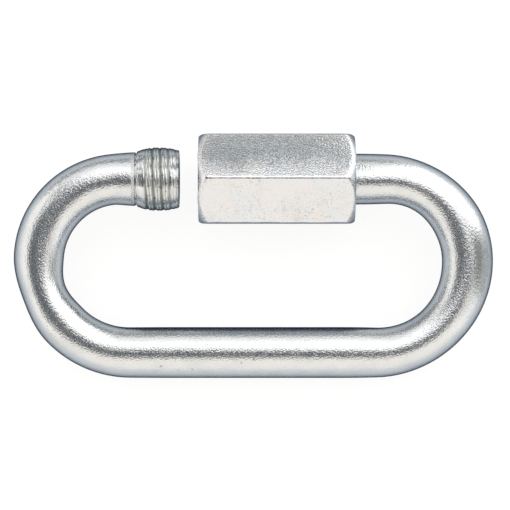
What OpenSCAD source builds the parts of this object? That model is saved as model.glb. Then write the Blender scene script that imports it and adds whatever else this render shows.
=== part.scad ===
// Chain quick link. A steel rod is bent into an oval whose two threaded ends face each other
// across a mouth, and a long hexagon sleeve nut runs along one end and screws over the other.
// It lies as it comes to rest: on its plain long side and on one corner of the nut.

/* [Bent rod] */
// Diameter of the round rod
rod_d = 8; // [6:0.1:8.8]
// Clear width between the two long sides
inside_w = 19.3; // [15:0.1:30]
// Clear length between the two ends of the oval
inside_l = 59.5; // [57:0.1:80]
// Radius, on the rod's middle line, of the gentler bends up from the plain side
plain_bend_r = 14.4; // [12:0.1:16]

/* [Threaded ends] */
// Largest diameter of the threads
thread_d = 10; // [9.2:0.1:11]
// Diameter of a thread at both of its rounded-off ends
thread_tip_d = 9; // [8.2:0.1:9.1]
// Length over which each end of a thread is rounded off
thread_crown_l = 3; // [1:0.1:3.2]
// Length of the short thread that the nut closes on
closing_thread_l = 6.6; // [6.5:0.1:9]
// Length of the long thread that carries the nut
carrying_thread_l = 14.5; // [10:0.1:16]
// Clear mouth between the two threaded ends
mouth_w = 9.3; // [6:0.1:11]
// Plain straight rod between the bend and the groove of the short thread
plain_l = 2.3; // [0.5:0.1:4]
// Width of the run-out groove behind each thread
groove_w = 0.3; // [0.2:0.1:1]
// Depth of the run-out groove behind each thread
groove_depth = 0.2; // [0.1:0.05:0.5]

/* [Sleeve nut] */
// Width of the hexagon across its flats
nut_af = 14; // [13:0.1:17]
// Length of the nut
nut_l = 24.5; // [20:0.1:28]
// How far from each end the rounded-off corners reach along the nut
corner_cut = 1.3; // [1:0.05:2]
// How far from each end the rounding reaches at the middle of a flat
flat_cut = 0.25; // [0.1:0.05:0.6]
// Depth of the countersink at each end of the bore
countersink = 0.6; // [0.2:0.1:0.9]
// Play all round between the thread and the bore of the nut
thread_play = 0.05; // [0.02:0.01:0.1]
// Gap between the nut and the closing end, as the nut is left part open
open_gap = 3.1; // [0.5:0.1:6]

/* [Hidden] */
$fn = 96;
hex_sides = 6;

// The oval's own plane has X along the threads, Y across the oval and Z square to it
axis_gap = inside_w + rod_d;
thread_y = axis_gap / 2;
plain_y = -axis_gap / 2;
thread_bend_r = axis_gap - plain_bend_r;
end_x = (inside_l + rod_d) / 2;
thread_bend_x = end_x - thread_bend_r;
plain_bend_x = end_x - plain_bend_r;

// Places along the thread axis
closing_thread_x = plain_l + groove_w - thread_bend_x;
closing_tip_x = closing_thread_x + closing_thread_l;
carrying_tip_x = closing_tip_x + mouth_w;
carrying_end_x = carrying_tip_x + carrying_thread_l;
nut_x = closing_tip_x + open_gap;

// Radii of the nut at a flat, at a corner and in its bore
nut_flat_r = nut_af / 2;
nut_corner_r = nut_flat_r / cos(180 / hex_sides);
bore_r = thread_d / 2 + thread_play;

// The oval leans until its plain side and the nut's lower corner both touch the table
lean = atan2(nut_corner_r, axis_gap) - asin(rod_d / 2 / norm([axis_gap, nut_corner_r]));
nut_reach = nut_corner_r * cos(180 / hex_sides - lean);
lie_y = (rod_d / 2 - nut_reach) / 2;
lie_z = rod_d / 2 - plain_y * sin(lean);

// Puts a piece made in the oval's own plane down on the table
module lie_on_table() {
    translate([0, lie_y, lie_z]) rotate([lean, 0, 0]) children();
}

// Round bar along +X
module bar(x, y, length, d) {
    translate([x, y, 0]) rotate([0, 90, 0]) cylinder(d = d, h = length);
}

// Rod bent through a quarter turn round the centre [x, y], from the angle start on
module quarter_bend(x, y, r, start) {
    translate([x, y, 0]) rotate(start) rotate_extrude(angle = 90) translate([r, 0]) circle(d = rod_d);
}

// Turns an outline about the thread axis; the outline has its radius along X, its length along Y
module turned(x) {
    translate([x, thread_y, 0]) rotate([0, 90, 0]) rotate_extrude() children();
}

// One end of the oval: a gentler bend up from the plain side, then a tighter one to the thread
module oval_end() {
    quarter_bend(plain_bend_x, plain_y + plain_bend_r, plain_bend_r, -90);
    quarter_bend(thread_bend_x, thread_y - thread_bend_r, thread_bend_r, 0);
}

// Outline of one thread: full in the middle, each end rounded off by an arc
module thread_outline(length) {
    drop = (thread_d - thread_tip_d) / 2;
    crown_r = (thread_crown_l * thread_crown_l + drop * drop) / (2 * drop);
    intersection() {
        square([thread_d / 2, length]);
        union() {
            translate([0, thread_crown_l]) square([thread_d / 2, length - 2 * thread_crown_l]);
            for (y = [thread_crown_l, length - thread_crown_l])
                translate([thread_d / 2 - crown_r, y]) circle(crown_r);
        }
    }
}

// Bent rod, with a short thread, the mouth and a long thread along one side of the oval
module link_body() {
    groove_d = rod_d - 2 * groove_depth;
    rest_x = carrying_end_x + groove_w;
    color("silver") union() {
        bar(-plain_bend_x, plain_y, 2 * plain_bend_x, rod_d);
        oval_end();
        mirror([1, 0, 0]) oval_end();
        bar(-thread_bend_x, thread_y, plain_l, rod_d);
        bar(closing_thread_x - groove_w, thread_y, groove_w, groove_d);
        turned(closing_thread_x) thread_outline(closing_thread_l);
        turned(carrying_tip_x) thread_outline(carrying_thread_l);
        bar(carrying_end_x, thread_y, groove_w, groove_d);
        bar(rest_x, thread_y, thread_bend_x - rest_x, rod_d);
    }
}

// Outline that rounds one end of the nut off: an arc about its axis through the cut at a flat
// and the cut at a corner, and straight on from there
module rounded_end() {
    rise = nut_corner_r * nut_corner_r - nut_flat_r * nut_flat_r;
    run = corner_cut * corner_cut - flat_cut * flat_cut;
    centre_y = (rise + run) / (2 * (corner_cut - flat_cut));
    translate([0, centre_y]) circle(norm([nut_flat_r, centre_y - flat_cut]));
    translate([0, centre_y]) square([nut_corner_r, nut_l]);
}

// Outline of the nut's round envelope, rounded off at both ends
module nut_envelope() {
    intersection() {
        square([nut_corner_r, nut_l]);
        rounded_end();
        translate([0, nut_l]) mirror([0, 1]) rounded_end();
    }
}

// Outline of the bore right through the nut, countersunk at both ends
module bore_outline() {
    mouth_r = bore_r + countersink;
    polygon([
        [0, 0],
        [mouth_r, 0],
        [bore_r, countersink],
        [bore_r, nut_l - countersink],
        [mouth_r, nut_l],
        [0, nut_l],
    ]);
}

// Hexagon bar that the nut is cut from, with a corner square to the plane of the oval
module hexagon_bar() {
    translate([nut_x, thread_y, 0])
        rotate([0, 90, 0]) cylinder(r = nut_corner_r, h = nut_l, $fn = hex_sides);
}

// Hexagon sleeve nut, rounded off at both ends and bored through
module sleeve_nut() {
    color("lightgray") difference() {
        intersection() {
            hexagon_bar();
            turned(nut_x) nut_envelope();
        }
        turned(nut_x) bore_outline();
    }
}

lie_on_table() link_body();
lie_on_table() sleeve_nut();
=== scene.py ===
import math

import bmesh
import bpy
from mathutils import Matrix, Vector, noise


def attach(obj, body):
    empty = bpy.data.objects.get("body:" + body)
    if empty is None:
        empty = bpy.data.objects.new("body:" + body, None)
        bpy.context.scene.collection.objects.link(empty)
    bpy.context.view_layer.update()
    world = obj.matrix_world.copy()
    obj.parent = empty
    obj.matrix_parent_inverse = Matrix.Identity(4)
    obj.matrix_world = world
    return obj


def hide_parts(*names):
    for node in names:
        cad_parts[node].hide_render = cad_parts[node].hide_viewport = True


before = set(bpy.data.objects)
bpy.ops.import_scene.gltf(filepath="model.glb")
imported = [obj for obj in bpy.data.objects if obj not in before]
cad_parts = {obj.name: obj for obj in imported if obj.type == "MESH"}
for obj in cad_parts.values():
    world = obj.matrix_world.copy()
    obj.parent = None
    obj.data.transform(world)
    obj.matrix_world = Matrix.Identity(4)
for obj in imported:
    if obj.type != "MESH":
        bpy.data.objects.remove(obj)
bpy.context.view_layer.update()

# Link: one round steel rod, drawn, cut to length and bent cold into an oval, then bright zinc
# plated. Both ends are swollen and rolled with a right-hand thread, and face each other across
# the mouth. It lies on the table, on its plain side and on one corner of the nut.
MM = 0.001
rod_r = 4 * MM
axis_gap = 27.3 * MM  # from the plain side's middle line to the thread axis
end_x = 33.75 * MM  # middle line of both ends of the oval
plain_bend_r = 14.4 * MM
thread_bend_r = axis_gap - plain_bend_r
nut_flat_r = 7 * MM  # the nut's size sets how far the link leans
nut_corner_r = nut_flat_r / math.cos(math.pi / 6)
thread_y = axis_gap / 2

# The oval leans until its plain side and the lower corner of the nut both touch the table
lean = math.atan2(nut_corner_r, axis_gap) - math.asin(rod_r / math.hypot(axis_gap, nut_corner_r))
nut_reach = nut_corner_r * math.cos(math.pi / 6 - lean)
lying = (
    Matrix.Translation((0, (rod_r - nut_reach) / 2, rod_r + thread_y * math.sin(lean)))
    @ Matrix.Rotation(lean, 4, "X")
)

pitch = 1.25 * MM
thread_r = 5 * MM
thread_tip_r = 4.5 * MM
thread_foot_r = 4.32 * MM
thread_crown = 3 * MM  # length over which each end of a thread is rounded off
thread_depth = 0.15 * MM  # what is left of it under the plating and from wear
crest_edge, root_edge = 0.3, 0.98  # where a flank starts and ends, in halves of a pitch
seam_share = 0.55  # depth of the seam that rolling leaves along each crest
seam_edge = 0.32  # half its width, in halves of a pitch
thread_plain = 1 * MM  # plain foot of each thread
thread_run_out = 0.6 * MM  # length over which it then gets its depth
tip_depth_share = 0.4  # what is left of the depth at the tip
thread_origin = 0.3 * MM  # a place on the axis that all three threads are wound from
groove_w = 0.3 * MM
groove_r = 4.05 * MM
groove_wall = 0.25  # share of the groove's width that each of its walls takes
closing_start = -18.25 * MM
closing_tip = -11.65 * MM
carrying_tip = -2.35 * MM
carrying_start = 12.15 * MM

neck_r = 4.22 * MM  # the rod swells to this at the foot of each thread
swell_length = 4 * MM

# Flats that the bending tool pressed: place and half length along the rod, and share of thickness
flats = (
    (27.6 * MM, 6 * MM, 0.1),
    (32 * MM, 20 * MM, 0.03),
    (92.7 * MM, 14 * MM, 0.06),
    (121 * MM, 10 * MM, 0.06),
)

rod_sides = 96
rod_step = 0.5 * MM
bend_points = 40
groove_points = 13
rows_per_turn = 24
tip_rows = 8
weld = 0.002 * MM  # points closer than this are one
link_sharp = math.radians(50)  # edges that turn by more than this stay sharp


def linear(colour):
    """An sRGB hex colour as the linear RGBA that sockets take."""
    channels = [int(colour[i:i + 2], 16) / 255 for i in (1, 3, 5)]
    return [c / 12.92 if c <= 0.04045 else ((c + 0.055) / 1.055) ** 2.4 for c in channels] + [1]


def add(tree, kind, inputs=None, **settings):
    """Adds a node with its settings, and links or sets its inputs by name or number."""
    node = tree.nodes.new(kind)
    for name, value in settings.items():
        setattr(node, name, value)
    for key, value in (inputs or {}).items():
        if isinstance(value, bpy.types.Node):
            value = next(s for s in value.outputs if s.enabled)
        if isinstance(value, bpy.types.NodeSocket):
            tree.links.new(value, node.inputs[key])
        else:
            node.inputs[key].default_value = value
    return node


def new_tree(name, sockets):
    """An empty Geometry Nodes tree with named inputs, one geometry output, and its input node."""
    tree = bpy.data.node_groups.new(name, "GeometryNodeTree")
    for label, kind in sockets.items():
        tree.interface.new_socket(label, in_out="INPUT", socket_type="NodeSocket" + kind)
    tree.interface.new_socket("Geometry", in_out="OUTPUT", socket_type="NodeSocketGeometry")
    return tree, tree.nodes.new("NodeGroupInput").outputs


def grown(name, tree, inputs, mesh):
    """What a tree makes of a mesh, as a plain mesh."""
    host = bpy.data.objects.new(name, mesh)
    bpy.context.scene.collection.objects.link(host)
    modifier = host.modifiers.new(name, "NODES")
    modifier.node_group = tree
    for item in tree.interface.items_tree:
        if item.in_out == "INPUT" and item.name in inputs:
            modifier[item.identifier] = inputs[item.name]
    result = bpy.data.meshes.new_from_object(
        host.evaluated_get(bpy.context.evaluated_depsgraph_get())
    )
    host.modifiers.remove(modifier)
    bpy.data.objects.remove(host)
    return result


# Helical thread about the X axis: a grid whose rows climb one pitch per turn and stop square at
# both ends. Its last rows close the end face.
thread_tree, given = new_tree(
    "helical thread",
    {
        "Start": "Float",
        "End": "Float",
        "Pitch": "Float",
        "Depth": "Float",
        "Seam": "Float",
        "Full Radius": "Float",
        "Start Radius": "Float",
        "End Radius": "Float",
        "Crown Length": "Float",
        "Plain Start": "Float",
        "Run-out": "Float",
        "End Depth": "Float",
        "Origin": "Float",
        "Sides": "Int",
        "Rows Per Turn": "Int",
        "Face Rows": "Int",
        "Material": "Material",
    },
)
t = thread_tree
length = add(t, "ShaderNodeMath", {0: given["End"], 1: given["Start"]}, operation="SUBTRACT")
turns = add(t, "ShaderNodeMath", {0: length, 1: given["Pitch"]}, operation="DIVIDE")
row_step = add(
    t, "ShaderNodeMath", {0: given["Pitch"], 1: given["Rows Per Turn"]}, operation="DIVIDE"
)
wound_rows = add(
    t,
    "ShaderNodeMath",
    {
        0: add(
            t,
            "ShaderNodeMath",
            {0: add(t, "ShaderNodeMath", {0: turns, 1: 1.0}, operation="ADD"),
             1: given["Rows Per Turn"]},
            operation="MULTIPLY",
        )
    },
    operation="CEIL",
)
all_rows = add(t, "ShaderNodeMath", {0: wound_rows, 1: given["Face Rows"]}, operation="ADD")
grid_length = add(t, "ShaderNodeMath", {0: all_rows, 1: row_step}, operation="MULTIPLY")
grid = add(
    t,
    "GeometryNodeMeshGrid",
    {
        "Size X": grid_length,
        "Size Y": 1.0,
        "Vertices X": add(t, "ShaderNodeMath", {0: all_rows, 1: 1.0}, operation="ADD"),
        "Vertices Y": add(t, "ShaderNodeMath", {0: given["Sides"], 1: 1.0}, operation="ADD"),
    },
)
place = add(t, "ShaderNodeSeparateXYZ", {0: t.nodes.new("GeometryNodeInputPosition")})
turn = add(t, "ShaderNodeMath", {0: place.outputs["Y"], 1: 0.5}, operation="ADD")
run = add(
    t, "ShaderNodeMath", {0: grid_length, 1: 0.5, 2: place.outputs["X"]}, operation="MULTIPLY_ADD"
)
wound = add(t, "ShaderNodeMath", {0: turn, 1: given["Pitch"], 2: run}, operation="MULTIPLY_ADD")
first = add(t, "ShaderNodeMath", {0: given["Start"], 1: given["Pitch"]}, operation="SUBTRACT")
along = add(
    t,
    "ShaderNodeClamp",
    {
        "Value": add(t, "ShaderNodeMath", {0: wound, 1: first}, operation="ADD"),
        "Min": given["Start"],
        "Max": given["End"],
    },
)
from_start = add(t, "ShaderNodeMath", {0: along, 1: given["Start"]}, operation="SUBTRACT")
to_end = add(t, "ShaderNodeMath", {0: given["End"], 1: along}, operation="SUBTRACT")

# Rounded ridge and root across one pitch: 0 on the crest and 1 in the root
wave = add(
    t,
    "ShaderNodeMath",
    {
        0: add(
            t,
            "ShaderNodeMath",
            {0: add(t, "ShaderNodeMath", {0: along, 1: given["Origin"]}, operation="SUBTRACT"),
             1: given["Pitch"]},
            operation="DIVIDE",
        ),
        1: turn,
    },
    operation="SUBTRACT",
)
across = add(
    t,
    "ShaderNodeMath",
    {
        0: add(
            t,
            "ShaderNodeMath",
            {0: add(t, "ShaderNodeMath", {0: wave}, operation="FRACT"), 1: 2.0, 2: -1.0},
            operation="MULTIPLY_ADD",
        )
    },
    operation="ABSOLUTE",
)
root = add(
    t,
    "ShaderNodeMapRange",
    {"Value": across, "From Min": crest_edge, "From Max": root_edge},
    interpolation_type="SMOOTHSTEP",
)
seam = add(
    t,
    "ShaderNodeMapRange",
    {"Value": across, "From Max": seam_edge, "To Min": given["Seam"], "To Max": 0.0},
    interpolation_type="SMOOTHSTEP",
)
profile = add(t, "ShaderNodeMath", {0: root, 1: seam}, operation="MAXIMUM")
plain_end = add(
    t, "ShaderNodeMath", {0: given["Plain Start"], 1: given["Run-out"]}, operation="ADD"
)
cut_in = add(
    t,
    "ShaderNodeMapRange",
    {"Value": from_start, "From Min": given["Plain Start"], "From Max": plain_end},
    interpolation_type="SMOOTHSTEP",
)
cut_out = add(
    t,
    "ShaderNodeMapRange",
    {"Value": to_end, "From Max": given["Crown Length"], "To Min": given["End Depth"]},
    interpolation_type="SMOOTHSTEP",
)
cut = add(
    t,
    "ShaderNodeMath",
    {0: add(t, "ShaderNodeMath", {0: cut_in, 1: cut_out}, operation="MULTIPLY"), 1: profile},
    operation="MULTIPLY",
)

# Outside of the thread: full in the middle, drawn in or flared by a parabola at each end
outside = given["Full Radius"]
for distance, radius in ((from_start, given["Start Radius"]), (to_end, given["End Radius"])):
    crown = add(
        t,
        "ShaderNodeMapRange",
        {"Value": distance, "From Max": given["Crown Length"], "To Min": 1.0, "To Max": 0.0},
    )
    outside = add(
        t,
        "ShaderNodeMath",
        {
            0: add(t, "ShaderNodeMath", {0: crown, 1: 2.0}, operation="POWER"),
            1: add(
                t, "ShaderNodeMath", {0: radius, 1: given["Full Radius"]}, operation="SUBTRACT"
            ),
            2: outside,
        },
        operation="MULTIPLY_ADD",
    )
cut_depth = add(t, "ShaderNodeMath", {0: cut, 1: given["Depth"]}, operation="MULTIPLY")
ridge_r = add(t, "ShaderNodeMath", {0: outside, 1: cut_depth}, operation="SUBTRACT")
row = add(t, "ShaderNodeMath", {0: run, 1: row_step}, operation="DIVIDE")
to_pole = add(
    t,
    "ShaderNodeMapRange",
    {"Value": row, "From Min": wound_rows, "From Max": all_rows, "To Min": 1.0, "To Max": 0.0},
)
surface_r = add(t, "ShaderNodeMath", {0: ridge_r, 1: to_pole}, operation="MULTIPLY")
angle = add(t, "ShaderNodeMath", {0: turn, 1: math.tau}, operation="MULTIPLY")

# The cut stays on the mesh for the plating to read, which darkens the roots by it as painted shade
marked = add(
    t,
    "GeometryNodeStoreNamedAttribute",
    {"Geometry": grid.outputs["Mesh"], "Name": "thread_cut", "Value": cut},
    data_type="FLOAT",
    domain="POINT",
)
turned = add(
    t,
    "GeometryNodeSetPosition",
    {
        "Geometry": marked,
        "Position": add(
            t,
            "ShaderNodeCombineXYZ",
            {
                0: along,
                1: add(
                    t, "ShaderNodeMath",
                    {0: add(t, "ShaderNodeMath", {0: angle}, operation="COSINE"), 1: surface_r},
                    operation="MULTIPLY",
                ),
                2: add(
                    t, "ShaderNodeMath",
                    {0: add(t, "ShaderNodeMath", {0: angle}, operation="SINE"), 1: surface_r},
                    operation="MULTIPLY",
                ),
            },
        ),
    },
)
closed = add(t, "GeometryNodeMergeByDistance", {"Geometry": turned, "Distance": weld})
plated = add(
    t,
    "GeometryNodeSetMaterial",
    {"Geometry": add(t, "GeometryNodeRealizeInstances", {"Geometry": closed}),
     "Material": given["Material"]},
)
add(t, "NodeGroupOutput", {0: plated})

# Bent rod: a circle swept along corners that are filleted to the two bend radii, with a threaded
# end joined on at each end by its run-out groove.
link_tree, given = new_tree(
    "bent rod with threaded ends",
    {
        "Geometry": "Geometry",
        "Rod Radius": "Float",
        "Plain Bend": "Float",
        "Thread Bend": "Float",
        "Row Step": "Float",
        "Sides": "Int",
        "Swell": "Float",
        "Swell Length": "Float",
        "Rod Material": "Material",
        "Thread Material": "Material",
    },
)
t = link_tree
place = add(t, "ShaderNodeSeparateXYZ", {0: t.nodes.new("GeometryNodeInputPosition")})
bend_r = add(
    t,
    "GeometryNodeSwitch",
    {
        "Switch": add(
            t, "FunctionNodeCompare", {0: place.outputs["Y"], 1: 0.0}, operation="GREATER_THAN"
        ),
        "False": given["Plain Bend"],
        "True": given["Thread Bend"],
    },
    input_type="FLOAT",
)
bent = add(
    t,
    "GeometryNodeFilletCurve",
    {
        "Curve": add(t, "GeometryNodeMeshToCurve", {0: given["Geometry"]}),
        "Count": bend_points,
        "Radius": bend_r,
        "Limit Radius": True,
    },
    mode="POLY",
)
path = add(
    t, "GeometryNodeResampleCurve", {"Curve": bent, "Length": given["Row Step"]}, mode="LENGTH"
)
measured = add(
    t,
    "GeometryNodeStoreNamedAttribute",
    {"Geometry": path, "Name": "along",
     "Value": t.nodes.new("GeometryNodeSplineParameter").outputs["Length"]},
    data_type="FLOAT",
    domain="POINT",
)
centred = add(
    t,
    "GeometryNodeStoreNamedAttribute",
    {"Geometry": measured, "Name": "centre", "Value": t.nodes.new("GeometryNodeInputPosition")},
    data_type="FLOAT_VECTOR",
    domain="POINT",
)
circle = add(
    t,
    "GeometryNodeCurvePrimitiveCircle",
    {"Resolution": given["Sides"], "Radius": given["Rod Radius"]},
    mode="RADIUS",
)
section = add(
    t,
    "GeometryNodeStoreNamedAttribute",
    {"Geometry": circle, "Name": "section",
     "Value": t.nodes.new("GeometryNodeInputPosition")},
    data_type="FLOAT_VECTOR",
    domain="POINT",
)
spline = t.nodes.new("GeometryNodeSplineParameter").outputs
from_end = add(
    t,
    "ShaderNodeMath",
    {
        0: spline["Length"],
        1: add(
            t,
            "ShaderNodeMath",
            {0: t.nodes.new("GeometryNodeSplineLength").outputs["Length"], 1: spline["Length"]},
            operation="SUBTRACT",
        ),
    },
    operation="MINIMUM",
)
swollen = add(
    t,
    "ShaderNodeMapRange",
    {"Value": from_end, "From Max": given["Swell Length"], "To Min": given["Swell"], "To Max": 1.0},
    interpolation_type="SMOOTHSTEP",
)
swept = add(
    t,
    "GeometryNodeCurveToMesh",
    {"Curve": centred, "Profile Curve": section, "Scale": swollen},
)
along_rod = add(t, "GeometryNodeInputNamedAttribute", {"Name": "along"}, data_type="FLOAT")
pressed = 0.0
for flat_at, half_length, share in flats:
    from_flat = add(t, "ShaderNodeMath", {0: along_rod, 1: flat_at}, operation="SUBTRACT")
    flat = add(
        t,
        "ShaderNodeMapRange",
        {
            "Value": add(t, "ShaderNodeMath", {0: from_flat}, operation="ABSOLUTE"),
            "From Max": half_length,
            "To Min": share,
            "To Max": 0.0,
        },
        interpolation_type="SMOOTHSTEP",
    )
    pressed = add(t, "ShaderNodeMath", {0: pressed, 1: flat}, operation="ADD")
from_centre = add(
    t,
    "ShaderNodeVectorMath",
    {
        0: t.nodes.new("GeometryNodeInputPosition"),
        1: add(t, "GeometryNodeInputNamedAttribute", {"Name": "centre"}, data_type="FLOAT_VECTOR"),
    },
    operation="SUBTRACT",
)
in_plane = add(
    t, "ShaderNodeVectorMath", {0: from_centre, 1: (-1, -1, 0)}, operation="MULTIPLY"
)
flattened = add(
    t,
    "GeometryNodeSetPosition",
    {
        "Geometry": swept,
        "Offset": add(
            t, "ShaderNodeVectorMath", {0: in_plane, "Scale": pressed}, operation="SCALE"
        ),
    },
)
# The place on the rod, as if it were straight, stays on the mesh for the plating to read
on_section = add(
    t,
    "ShaderNodeSeparateXYZ",
    {0: add(t, "GeometryNodeInputNamedAttribute", {"Name": "section"}, data_type="FLOAT_VECTOR")},
)
straight = add(
    t,
    "ShaderNodeCombineXYZ",
    {0: along_rod, 1: on_section.outputs["X"], 2: on_section.outputs["Y"]},
)
rod = add(
    t,
    "GeometryNodeSetMaterial",
    {
        "Geometry": add(
            t,
            "GeometryNodeStoreNamedAttribute",
            {"Geometry": flattened, "Name": "straight", "Value": straight},
            data_type="FLOAT_VECTOR",
            domain="POINT",
        ),
        "Material": given["Rod Material"],
    },
)
parts = [rod]
# The carrying end is the closing end turned half round, and wound from the same place
ends = (
    (closing_start, closing_tip, thread_origin, 0.0),
    (-carrying_start, -carrying_tip, -thread_origin - pitch / 2, math.pi),
)
for start, tip, origin, half_turn in ends:
    thread = add(
        t,
        "GeometryNodeGroup",
        {
            "Start": start,
            "End": tip,
            "Pitch": pitch,
            "Depth": thread_depth,
            "Seam": seam_share,
            "Full Radius": thread_r,
            "Start Radius": thread_foot_r,
            "End Radius": thread_tip_r,
            "Crown Length": thread_crown,
            "Plain Start": thread_plain,
            "Run-out": thread_run_out,
            "End Depth": tip_depth_share,
            "Origin": origin,
            "Sides": rod_sides,
            "Rows Per Turn": rows_per_turn,
            "Face Rows": tip_rows,
            "Material": given["Thread Material"],
        },
        node_tree=thread_tree,
    )
    neck_line = add(
        t,
        "GeometryNodeCurvePrimitiveLine",
        {"Start": (start - groove_w, 0, 0), "End": (start, 0, 0)},
    )
    neck_path = add(t, "GeometryNodeResampleCurve", {"Curve": neck_line, "Count": groove_points})
    from_rod = add(
        t,
        "ShaderNodeMapRange",
        {"Value": t.nodes.new("GeometryNodeSplineParameter").outputs["Factor"],
         "From Max": groove_wall, "To Min": neck_r, "To Max": groove_r},
    )
    from_thread = add(
        t,
        "ShaderNodeMapRange",
        {"Value": t.nodes.new("GeometryNodeSplineParameter").outputs["Factor"],
         "From Min": 1 - groove_wall, "From Max": 1.0,
         "To Min": groove_r, "To Max": thread_foot_r},
    )
    neck = add(
        t,
        "GeometryNodeCurveToMesh",
        {
            "Curve": neck_path,
            "Profile Curve": add(
                t, "GeometryNodeCurvePrimitiveCircle", {"Resolution": rod_sides, "Radius": 1.0},
                mode="RADIUS",
            ),
            "Scale": add(
                t, "ShaderNodeMath",
                {0: from_rod,
                 1: add(t, "ShaderNodeMath", {0: from_thread, 1: groove_r},
                        operation="SUBTRACT")},
                operation="ADD",
            ),
        },
    )
    neck_plated = add(
        t, "GeometryNodeSetMaterial", {"Geometry": neck, "Material": given["Thread Material"]}
    )
    end = add(t, "GeometryNodeJoinGeometry")
    for piece in (thread, neck_plated):
        t.links.new(piece.outputs[0], end.inputs[0])
    end_marked = add(
        t,
        "GeometryNodeStoreNamedAttribute",
        {"Geometry": end, "Name": "straight", "Value": t.nodes.new("GeometryNodeInputPosition")},
        data_type="FLOAT_VECTOR",
        domain="POINT",
    )
    parts.append(
        add(
            t,
            "GeometryNodeTransform",
            {
                "Geometry": end_marked,
                "Translation": (0, thread_y, 0),
                "Rotation": (0, 0, half_turn),
            },
        )
    )
whole = add(t, "GeometryNodeJoinGeometry")
for piece in parts:
    t.links.new(piece.outputs[0], whole.inputs[0])
closed = add(t, "GeometryNodeMergeByDistance", {"Geometry": whole, "Distance": weld})
smooth = add(t, "GeometryNodeSetShadeSmooth", {"Geometry": closed})
add(t, "NodeGroupOutput", {0: add(t, "GeometryNodeRealizeInstances", {"Geometry": smooth})})

# Bright zinc plate over drawn rod: a satin mirror. Its fine grain, drawn out a little along the
# rod, breaks dark reflections into dots and streaks. Real grain is finer; this is what shows.
# The blue film on the warmer zinc is neutral seen square on, and dark at a glancing angle.
zinc = "#e4dfdb"
zinc_dull = "#dcd8d5"
zinc_edge = "#223449"  # zinc at a glancing angle
passive_film = "#e6edf3"
stain = "#555043"
grain_length, grain_width = 0.3 * MM, 0.23 * MM
grain_height = 0.043 * MM
grain_limits = (0.3, 0.7)  # limits are the noise values between which a look changes
rod_roughness = (0.18, 0.28)
wave_width = 4 * MM  # slow waves under the grain
wave_share = 0.25
dull_width = 2.5 * MM  # duller patches
dull_limits = (0.42, 0.68)
speck_spacing = 1.6 * MM  # brown specks, in a few clusters
speck_limits = (0.06, 0.17)  # radii of a speck's middle and of its rim, in spacings
speck_share = 0.55
cluster_width = 9 * MM
cluster_limits = (0.56, 0.64)
plating = {
    "Metallic": 1,
    "Specular Tint": linear(zinc_edge),
    "Coat Weight": 1,
    "Coat IOR": 1.005,
    "Coat Roughness": 0.25,
    "Coat Tint": linear(passive_film),
}


def new_material(name, settings):
    """A material, its tree and its shader, with what is the same all over set on the shader."""
    material = bpy.data.materials.new(name)
    material.use_nodes = True
    shader = material.node_tree.nodes["Principled BSDF"]
    for socket, value in settings.items():
        shader.inputs[socket].default_value = value
    return material, material.node_tree, shader


def streaks(tree, on_piece, size_along, size_across, detail):
    """Noise whose spots have one size along the piece and another across it."""
    stretched = add(
        tree,
        "ShaderNodeVectorMath",
        {0: on_piece, 1: (1 / size_along, 1 / size_across, 1 / size_across)},
        operation="MULTIPLY",
    )
    return add(tree, "ShaderNodeTexNoise", {"Vector": stretched, "Scale": 1.0, "Detail": detail})


rod_zinc, t, metal = new_material("bright zinc plate on drawn rod", plating)
on_rod = add(t, "ShaderNodeAttribute", attribute_name="straight").outputs["Vector"]
grain = streaks(t, on_rod, grain_length, grain_width, 1.0)
waves = add(t, "ShaderNodeTexNoise", {"Vector": on_rod, "Scale": 1 / wave_width, "Detail": 1.0})
height = add(t, "ShaderNodeMath", {0: waves, 1: wave_share, 2: grain}, operation="MULTIPLY_ADD")
bump = add(t, "ShaderNodeBump", {"Distance": grain_height, "Height": height})
dull = add(
    t,
    "ShaderNodeMapRange",
    {
        "Value": add(
            t, "ShaderNodeTexNoise", {"Vector": on_rod, "Scale": 1 / dull_width, "Detail": 4.0}
        ),
        "From Min": dull_limits[0],
        "From Max": dull_limits[1],
    },
)
# A colour mix takes its factor at 0 and two colours at 6 and 7, and gives its colour at 2
plate = add(
    t,
    "ShaderNodeMix",
    {0: dull, 6: linear(zinc), 7: linear(zinc_dull)},
    data_type="RGBA",
)
specks = add(
    t,
    "ShaderNodeMapRange",
    {
        "Value": add(
            t, "ShaderNodeTexVoronoi", {"Vector": on_rod, "Scale": 1 / speck_spacing}
        ).outputs["Distance"],
        "From Min": speck_limits[0],
        "From Max": speck_limits[1],
        "To Min": speck_share,
        "To Max": 0.0,
    },
)
clusters = add(
    t,
    "ShaderNodeMapRange",
    {
        "Value": add(
            t, "ShaderNodeTexNoise", {"Vector": on_rod, "Scale": 1 / cluster_width, "Detail": 2.0}
        ),
        "From Min": cluster_limits[0],
        "From Max": cluster_limits[1],
    },
)
spotted = add(
    t,
    "ShaderNodeMix",
    {
        0: add(t, "ShaderNodeMath", {0: specks, 1: clusters}, operation="MULTIPLY"),
        6: plate,
        7: linear(stain),
    },
    data_type="RGBA",
)
t.links.new(spotted.outputs[2], metal.inputs["Base Color"])
rough = add(
    t,
    "ShaderNodeMapRange",
    {
        "Value": grain,
        "From Min": grain_limits[0],
        "From Max": grain_limits[1],
        "To Min": rod_roughness[0],
        "To Max": rod_roughness[1],
    },
)
t.links.new(rough.outputs["Result"], metal.inputs["Roughness"])
t.links.new(bump.outputs["Normal"], metal.inputs["Normal"])
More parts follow.
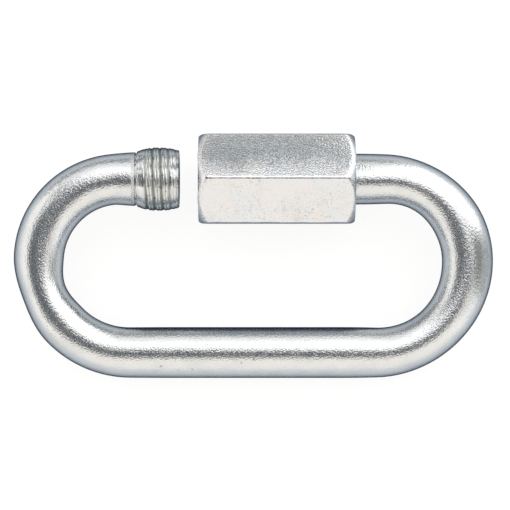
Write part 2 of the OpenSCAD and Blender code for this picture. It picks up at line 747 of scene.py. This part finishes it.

# The same plate on the rolled threads: duller and greener, with painted shade in the roots and
# patchy dirt, fine rolling lines round the crests and a few brown pits. Real lines are finer than
# these.
thread_crest = "#e6e1dd"
# Painted shade: the colour of the darkened thread roots, also used for the patchy dirt
thread_root_shade_and_dirt = "#8c8b81"
thread_pit = "#545042"
line_width = 0.16 * MM
line_length = 8 * line_width
line_height = 0.03 * MM
dirt_limits = (0.35, 0.75)
dirt_share = 0.3
pit_width = 0.55 * MM
pit_limits = (0.62, 0.7)
pit_share = 0.85
thread_roughness = (0.17, 0.42)  # on a clean crest and in a root

thread_zinc, t, metal = new_material("bright zinc plate on rolled thread", plating)
on_rod = add(t, "ShaderNodeAttribute", attribute_name="straight").outputs["Vector"]
rolled = streaks(t, on_rod, line_width, line_length, 2.0)
bump = add(t, "ShaderNodeBump", {"Distance": line_height, "Height": rolled})
# Painted shade: the cut darkens and dulls the roots, and the rolling noise adds patchy dirt all
# over the thread
root_shade_and_dirt = add(
    t,
    "ShaderNodeMath",
    {
        0: add(t, "ShaderNodeAttribute", attribute_name="thread_cut").outputs["Fac"],
        1: add(
            t,
            "ShaderNodeMapRange",
            {
                "Value": rolled,
                "From Min": dirt_limits[0],
                "From Max": dirt_limits[1],
                "To Max": dirt_share,
            },
        ),
    },
    operation="ADD",
    use_clamp=True,
)
shaded_and_dirty = add(
    t, "ShaderNodeMix", {0: root_shade_and_dirt, 6: linear(thread_crest), 7: linear(thread_root_shade_and_dirt)}, data_type="RGBA"
)
pits = add(
    t,
    "ShaderNodeMapRange",
    {
        "Value": add(
            t, "ShaderNodeTexNoise", {"Vector": on_rod, "Scale": 1 / pit_width, "Detail": 2.0}
        ),
        "From Min": pit_limits[0],
        "From Max": pit_limits[1],
        "To Max": pit_share,
    },
)
pitted = add(t, "ShaderNodeMix", {0: pits, 6: shaded_and_dirty, 7: linear(thread_pit)}, data_type="RGBA")
t.links.new(pitted.outputs[2], metal.inputs["Base Color"])
rough = add(
    t,
    "ShaderNodeMapRange",
    {"Value": root_shade_and_dirt, "To Min": thread_roughness[0], "To Max": thread_roughness[1]},
)
t.links.new(rough.outputs["Result"], metal.inputs["Roughness"])
t.links.new(bump.outputs["Normal"], metal.inputs["Normal"])

corners = bpy.data.meshes.new("rod_corners")
corners.from_pydata(
    [
        (closing_start - groove_w, thread_y, 0),
        (-end_x, thread_y, 0),
        (-end_x, -thread_y, 0),
        (end_x, -thread_y, 0),
        (end_x, thread_y, 0),
        (carrying_start + groove_w, thread_y, 0),
    ],
    [(i, i + 1) for i in range(5)],
    [],
)
link_mesh = grown(
    "link",
    link_tree,
    {
        "Rod Radius": rod_r,
        "Plain Bend": plain_bend_r,
        "Thread Bend": thread_bend_r,
        "Row Step": rod_step,
        "Sides": rod_sides,
        "Swell": neck_r / rod_r,
        "Swell Length": swell_length,
        "Rod Material": rod_zinc,
        "Thread Material": thread_zinc,
    },
    corners,
)


def closed_piece(name, bm, materials, sharp_angle):
    """A closed mesh in the oval's own plane as a piece that lies on the table."""
    bmesh.ops.remove_doubles(bm, verts=bm.verts, dist=weld)
    bmesh.ops.dissolve_degenerate(bm, edges=bm.edges, dist=weld)
    bmesh.ops.recalc_face_normals(bm, faces=bm.faces)
    bm.transform(lying)
    mesh = bpy.data.meshes.new(name)
    bm.to_mesh(mesh)
    bm.free()
    mesh.shade_smooth()
    mesh.set_sharp_from_angle(angle=sharp_angle)
    for material in materials:
        mesh.materials.append(material)
    piece = bpy.data.objects.new(name, mesh)
    bpy.context.scene.collection.objects.link(piece)
    return piece


bm = bmesh.new()
bm.from_mesh(link_mesh)
link = closed_piece("threaded_link", bm, link_mesh.materials, link_sharp)
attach(link, "link")
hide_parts("link_body")

# Sleeve nut: cut from drawn hexagon steel bar, bored and threaded right through, its corners
# turned off round at both ends, and zinc plated. It rides on the long thread of the link.
nut_start = -8.55 * MM
nut_length = 24.5 * MM
corner_cut = 1.3 * MM
flat_cut = 0.25 * MM
bore_play = 0.05 * MM
bore_plain = 0.2 * MM  # plain mouth of the bore
countersink = 0.6 * MM
edge_round = 0.6 * MM  # mean rounding of the six long edges, knocked about in use
wear_share = 0.35  # how far that rounding comes and goes along an edge
wear_length = 2.5 * MM
wear_apart = 7.3  # sets the wear of one edge apart from that of the next
end_round = 0.4 * MM
sextant = math.pi / 3
arc_steps = 4
body_steps = 40
bore_rows_per_turn = 20
nut_sharp = math.radians(40)

rise = nut_corner_r ** 2 - nut_flat_r ** 2
end_centre = (rise + corner_cut ** 2 - flat_cut ** 2) / (2 * (corner_cut - flat_cut))
end_r = math.hypot(nut_flat_r, end_centre - flat_cut)
face_r = math.sqrt(end_r ** 2 - end_centre ** 2)


def rounded_hexagon(from_corner, rounding):
    """Distance from the axis to the side of a hexagon at an angle from its nearest corner."""
    centre = nut_corner_r - rounding / math.cos(sextant / 2)
    reach = math.atan2(
        rounding * math.sin(sextant / 2), centre + rounding * math.cos(sextant / 2)
    )
    if abs(from_corner) < reach:
        across = centre * math.sin(from_corner)
        return centre * math.cos(from_corner) + math.sqrt(rounding ** 2 - across ** 2)
    return nut_flat_r / math.cos(sextant / 2 - abs(from_corner))


def end_profile(r):
    """How far from the nut's end face its turned rounding lies at a distance from the axis."""
    return end_centre - math.sqrt(end_r ** 2 - r ** 2)


def nut_column(angle):
    """Points (place along the nut, radius) from one end face to the other at one angle."""
    from_corner = (angle + sextant / 2) % sextant - sextant / 2
    which = round((angle - from_corner) / sextant) % 6
    half = []
    r = rounded_hexagon(from_corner, edge_round)
    inner = r - end_round
    for step in range(arc_steps):
        at = face_r + (inner - face_r) * step / arc_steps
        half.append((end_profile(at), at))
    start = end_profile(inner)
    corner = end_profile(r)
    for step in range(arc_steps + 1):
        f = step / arc_steps
        x = (1 - f) ** 2 * start + 2 * f * (1 - f) * corner + f ** 2 * (corner + end_round)
        half.append((x, inner + (r - inner) * (1 - (1 - f) ** 2)))
    column = list(half)
    body = nut_length - 2 * half[-1][0]
    for step in range(1, body_steps):
        x = half[-1][0] + body * step / body_steps
        wear = noise.noise(Vector((x / wear_length, which * wear_apart, 0)))
        column.append((x, rounded_hexagon(from_corner, edge_round * (1 + wear_share * wear))))
    column += [(nut_length - x, r) for x, r in reversed(half)]
    return column


# Angles from each corner to the points beside it: close over the rounding, wider on the flats
offset_degrees = (0, 0.4, 0.8, 1.2, 1.6, 2, 2.5, 3.2, 5, 8, 12, 16, 20, 24, 28)
offsets = [math.radians(a) for a in offset_degrees]
angles = [
    corner * sextant + math.pi / 2 + a
    for corner in range(6)
    for a in [-a for a in reversed(offsets[1:])] + offsets + [sextant / 2]
]
smooth_inner, smooth_outer = math.radians(1.8), math.radians(3)  # reach of the worn long edges

# Bright zinc plate over hexagon bar: flat faces that sparkle where the crystals of the plate catch
# the light, with drawing marks along the bar and faint blue and straw tints of its passive film.
# Real crystals are finer; these are what shows.
zinc_blue = "#d7d8da"
zinc_straw = "#dbd7d6"
nut_edge = "#75818d"  # paler than the rod at a glancing angle, under a thinner film
film_share = 0.5
spangle_length, spangle_width = 0.3 * MM, 0.2 * MM
spangle_height = 0.095 * MM
spangle_limits = (0.3, 0.7)
nut_roughness = (0.14, 0.26)
zone_width = 5 * MM  # patches with more and with less sparkle
zone_limits = (0.35, 0.65)
least_sparkle = 0.55
edge_sparkle = 0.15  # what is left of it on the worn long edges
scratch_length, scratch_width = 2 * MM, 0.3 * MM
scratch_share = 0.12
cloud_width = 3 * MM
cloud_limits = (0.35, 0.65)
rub_length, rub_width = 1.4 * MM, 9 * MM  # bright smears that spanner jaws left across the flats
rub_limits = (0.5, 0.9)
score_length, score_width = 9 * MM, 0.3 * MM  # a few long scores
score_limits = (0.68, 0.8)
rub_roughness = 0.2

nut_zinc, t, metal = new_material(
    "bright zinc plate on hexagon bar",
    {**plating, "Specular Tint": linear(nut_edge), "Coat Weight": film_share},
)
on_nut = add(
    t,
    "ShaderNodeMapping",
    {"Vector": t.nodes.new("ShaderNodeTexCoord").outputs["Object"], "Rotation": (-lean, 0, 0)},
)
spangle = streaks(t, on_nut, spangle_length, spangle_width, 1.0)
scratches = streaks(t, on_nut, scratch_length, scratch_width, 1.0)
height = add(
    t, "ShaderNodeMath", {0: scratches, 1: scratch_share, 2: spangle}, operation="MULTIPLY_ADD"
)
zones = add(
    t,
    "ShaderNodeMapRange",
    {
        "Value": add(
            t, "ShaderNodeTexNoise", {"Vector": on_nut, "Scale": 1 / zone_width, "Detail": 2.0}
        ),
        "From Min": zone_limits[0],
        "From Max": zone_limits[1],
        "To Min": 1.0,
        "To Max": least_sparkle,
    },
)
unworn = add(
    t,
    "ShaderNodeMapRange",
    {
        "Value": add(t, "ShaderNodeAttribute", attribute_name="smooth_edge").outputs["Fac"],
        "To Min": 1.0,
        "To Max": edge_sparkle,
    },
)
bump = add(
    t,
    "ShaderNodeBump",
    {
        "Strength": add(t, "ShaderNodeMath", {0: zones, 1: unworn}, operation="MULTIPLY"),
        "Distance": spangle_height,
        "Height": height,
    },
)
t.links.new(bump.outputs["Normal"], metal.inputs["Normal"])
clouds = add(
    t,
    "ShaderNodeMapRange",
    {
        "Value": add(
            t, "ShaderNodeTexNoise", {"Vector": on_nut, "Scale": 1 / cloud_width, "Detail": 3.0}
        ),
        "From Min": cloud_limits[0],
        "From Max": cloud_limits[1],
    },
)
hue = add(
    t, "ShaderNodeMix", {0: clouds, 6: linear(zinc_blue), 7: linear(zinc_straw)}, data_type="RGBA"
)
t.links.new(hue.outputs[2], metal.inputs["Base Color"])
marks = [
    add(
        t,
        "ShaderNodeMapRange",
        {
            "Value": streaks(t, on_nut, size_along, size_across, 4.0),
            "From Min": limits[0],
            "From Max": limits[1],
        },
    )
    for size_along, size_across, limits in (
        (rub_length, rub_width, rub_limits),
        (score_length, score_width, score_limits),
    )
]
rubbed = add(t, "ShaderNodeMath", {0: marks[0], 1: marks[1]}, operation="MAXIMUM")
rough = add(
    t,
    "ShaderNodeMath",
    {
        0: rubbed,
        1: rub_roughness,
        2: add(
            t,
            "ShaderNodeMapRange",
            {
                "Value": spangle,
                "From Min": spangle_limits[0],
                "From Max": spangle_limits[1],
                "To Min": nut_roughness[0],
                "To Max": nut_roughness[1],
            },
        ),
    },
    operation="MULTIPLY_ADD",
)
t.links.new(rough.outputs[0], metal.inputs["Roughness"])

bore_mesh = grown(
    "bore",
    thread_tree,
    {
        "Start": nut_start,
        "End": nut_start + nut_length,
        "Pitch": pitch,
        "Depth": thread_depth,
        "Seam": 0.0,
        "Full Radius": thread_r + bore_play,
        "Start Radius": thread_r + bore_play + countersink,
        "End Radius": thread_r + bore_play + countersink,
        "Crown Length": countersink,
        "Plain Start": bore_plain,
        "Run-out": countersink,
        "End Depth": 0.0,
        "Origin": thread_origin,
        "Sides": rod_sides,
        "Rows Per Turn": bore_rows_per_turn,
        "Face Rows": 0,
        "Material": nut_zinc,
    },
    bpy.data.meshes.new("bore"),
)
bm = bmesh.new()
bm.from_mesh(bore_mesh)
smooth_edge = bm.verts.layers.float.new("smooth_edge")
rows = []
for angle in angles:
    column = [
        bm.verts.new((nut_start + x, r * math.cos(angle), r * math.sin(angle)))
        for x, r in nut_column(angle - math.pi / 2)
    ]
    from_corner = abs((angle - math.pi / 2 + sextant / 2) % sextant - sextant / 2)
    worn = (smooth_outer - from_corner) / (smooth_outer - smooth_inner)
    for vert in column:
        vert[smooth_edge] = max(0, min(1, worn))
    rows.append(column)
for left, right in zip(rows, rows[1:] + rows[:1]):
    for i in range(len(left) - 1):
        bm.faces.new((left[i], left[i + 1], right[i + 1], right[i]))
bmesh.ops.remove_doubles(bm, verts=bm.verts, dist=weld)
for end in (nut_start, nut_start + nut_length):
    rims = [
        e for e in bm.edges
        if e.is_boundary and all(abs(v.co.x - end) < weld for v in e.verts)
    ]
    bmesh.ops.triangle_fill(bm, use_beauty=True, edges=rims)
bmesh.ops.translate(bm, verts=bm.verts, vec=(0, thread_y, 0))
nut = closed_piece("hexagon_nut", bm, [nut_zinc], nut_sharp)
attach(nut, "nut")
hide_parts("sleeve_nut")

# Table and light: a pale table in a white tent, with soft panels on all sides. The camera looks
# down square to the oval, out of a dark gap in the tent. Grey cards that only the metal sees
# stand round the link for its dark reflections.
eye_distance = 380 * MM
photo_width = 80.3 * MM  # what the picture's width takes in at the oval
look_at = lying @ Vector((0.3 * MM, 1.7 * MM, 0))
to_eye = lying.to_3x3() @ Vector((0, 0, 1))
facing_eye = Matrix.Rotation(lean, 4, "X")

lens = bpy.data.cameras.new("camera")
lens.sensor_width = 36
lens.lens = lens.sensor_width * eye_distance / photo_width
lens.clip_start = 10 * MM
eye = bpy.data.objects.new("camera", lens)
eye.matrix_world = Matrix.Translation(look_at + to_eye * eye_distance) @ facing_eye
bpy.context.scene.collection.objects.link(eye)
bpy.context.scene.camera = eye
bpy.context.scene.view_settings.view_transform = "Standard"

tent_white = "#fffbf5"
tent_strength = 0.85
tent = bpy.data.worlds.new("white tent")
tent.use_nodes = True
tent_light = tent.node_tree.nodes["Background"].inputs
tent_light["Color"].default_value = linear(tent_white)
tent_light["Strength"].default_value = tent_strength
bpy.context.scene.world = tent


def matt_card(name, corners, colour):
    """A flat matt piece of the stage."""
    mesh = bpy.data.meshes.new(name)
    mesh.from_pydata(corners, [], [range(len(corners))])
    matt = {"Base Color": linear(colour), "Roughness": 1, "Specular IOR Level": 0}
    mesh.materials.append(new_material(name, matt)[0])
    card = bpy.data.objects.new(name, mesh)
    bpy.context.scene.collection.objects.link(card)
    return card


def seen_from_link(right, up, distance):
    """A point at a place beside the camera's axis, at a distance square to the oval."""
    return look_at + facing_eye.to_3x3() @ Vector((right, up, distance))


table_half = 1.5
table = matt_card(
    "pale_table",
    [(x * table_half, y * table_half, 0) for x, y in ((-1, -1), (1, -1), (1, 1), (-1, 1))],
    "#f6f6f6",
)
# Seen by the camera, in the metal or through glass, the table is mostly plain white. The rest
# keeps the link's shadow.
t = table.data.materials[0].node_tree
ray = t.nodes.new("ShaderNodeLightPath")
reflected = add(
    t,
    "ShaderNodeMath",
    {0: ray.outputs["Is Glossy Ray"], 1: ray.outputs["Is Transmission Ray"]},
    operation="MAXIMUM",
)
white_share = 0.85
seen = add(
    t,
    "ShaderNodeMath",
    {0: ray.outputs["Is Camera Ray"], 1: reflected},
    operation="MAXIMUM",
)
table_look = add(
    t,
    "ShaderNodeMixShader",
    {
        0: add(t, "ShaderNodeMath", {0: seen, 1: white_share}, operation="MULTIPLY"),
        1: t.nodes["Principled BSDF"].outputs["BSDF"],
        2: add(t, "ShaderNodeEmission", {"Strength": 1.0}),
    },
)
t.links.new(table_look.outputs[0], t.nodes["Material Output"].inputs["Surface"])

# Dark gap round the camera, wider to the left, with its corners in mm beside the camera's axis
gap_distance = 200 * MM
gap_corners = (
    (95, 14), (110, -75), (60, -95), (0, -92), (-50, -104), (-270, -145),
    (-250, 60), (-290, 150), (-200, 108), (-110, 75),
    (-370, 290), (-330, 345), (-200, 230), (-75, 86), (-20, 24),
)
gap_grey = "#5b6066"
cards = [
    matt_card(
        "dark_gap",
        [seen_from_link(x * MM, y * MM, gap_distance) for x, y in gap_corners],
        gap_grey,
    )
]

# Cards with their corners in mm: one close behind the nut, for its upper face; one far off behind;
# four close to the right end, the darker ones before a light one; and a low strip inside the oval,
# for the inner edge of the plain side
for name, colour, corners in (
    ("grey_card", "#848b8d",
     ((-14, 18.3, 21.6), (18, 18.3, 21.6), (18, 69, 44.2), (-14, 69, 44.2))),
    ("back_card", "#8a9094", ((-420, 300, 0), (60, 300, 0), (60, 300, 105), (-420, 300, 105))),
    ("right_card_light", "#dcdedd", ((62, 11, 0), (62, -19, 0), (62, -19, 76), (62, 11, 76))),
    ("right_card_high", "#5c6061", ((60, 5, 42), (60, -14, 42), (60, -14, 68), (60, 5, 68))),
    ("right_card_middle", "#828686", ((60, 6, 20), (60, -15, 20), (60, -15, 42), (60, 6, 42))),
    ("right_card_low", "#b4b8b8", ((60, 7, 0), (60, -16, 0), (60, -16, 20), (60, 7, 20))),
    ("low_strip", "#808b97", ((-27, -9, 0), (27, -9, 0), (15, -9, 5.6), (-17, -9, 5.6))),
):
    cards.append(matt_card(name, [[c * MM for c in corner] for corner in corners], colour))
for card in cards:
    card.visible_camera = card.visible_diffuse = card.visible_shadow = False

# Soft panels: over the threaded side, low behind it, before the plain side, on the left, on the
# right and behind on the right
for name, width, height, radiance, colour, place in (
    ("back_panel", 960 * MM, 590 * MM, 1.0, "#ffffff",
     Matrix.Translation(seen_from_link(0, 305 * MM, 425 * MM)) @ facing_eye),
    ("low_back_panel", 900 * MM, 190 * MM, 0.5, "#ffffff",
     Matrix.Translation((0, 300 * MM, 200 * MM)) @ Matrix.Rotation(math.radians(-90), 4, "X")),
    ("front_panel", 1000 * MM, 680 * MM, 0.55, "#fff6ea",
     Matrix.Translation((0, -380 * MM, 312 * MM)) @ Matrix.Rotation(math.radians(65), 4, "X")),
    ("left_panel", 500 * MM, 700 * MM, 0.66, "#fffaf2",
     Matrix.Translation((-400 * MM, 0, 240 * MM)) @ Matrix.Rotation(math.radians(-80), 4, "Y")),
    ("right_panel", 600 * MM, 300 * MM, 0.6, "#ffffff",
     Matrix.Translation((420 * MM, -80 * MM, 150 * MM)) @ Matrix.Rotation(math.radians(90), 4, "Y")
     @ Matrix.Rotation(math.radians(90), 4, "Z")),
    ("right_back_panel", 460 * MM, 480 * MM, 1.1, "#ffffff",
     Matrix.Translation((300 * MM, 270 * MM, 225 * MM))
     @ Matrix.Rotation(math.radians(-45), 4, "Z") @ Matrix.Rotation(math.radians(-65), 4, "X")),
):
    panel = bpy.data.lights.new(name, "AREA")
    panel.shape = "RECTANGLE"
    panel.size, panel.size_y = width, height
    panel.color = linear(colour)[:3]
    panel.energy = radiance * math.pi * width * height
    lamp = bpy.data.objects.new(name, panel)
    lamp.matrix_world = place
    bpy.context.scene.collection.objects.link(lamp)
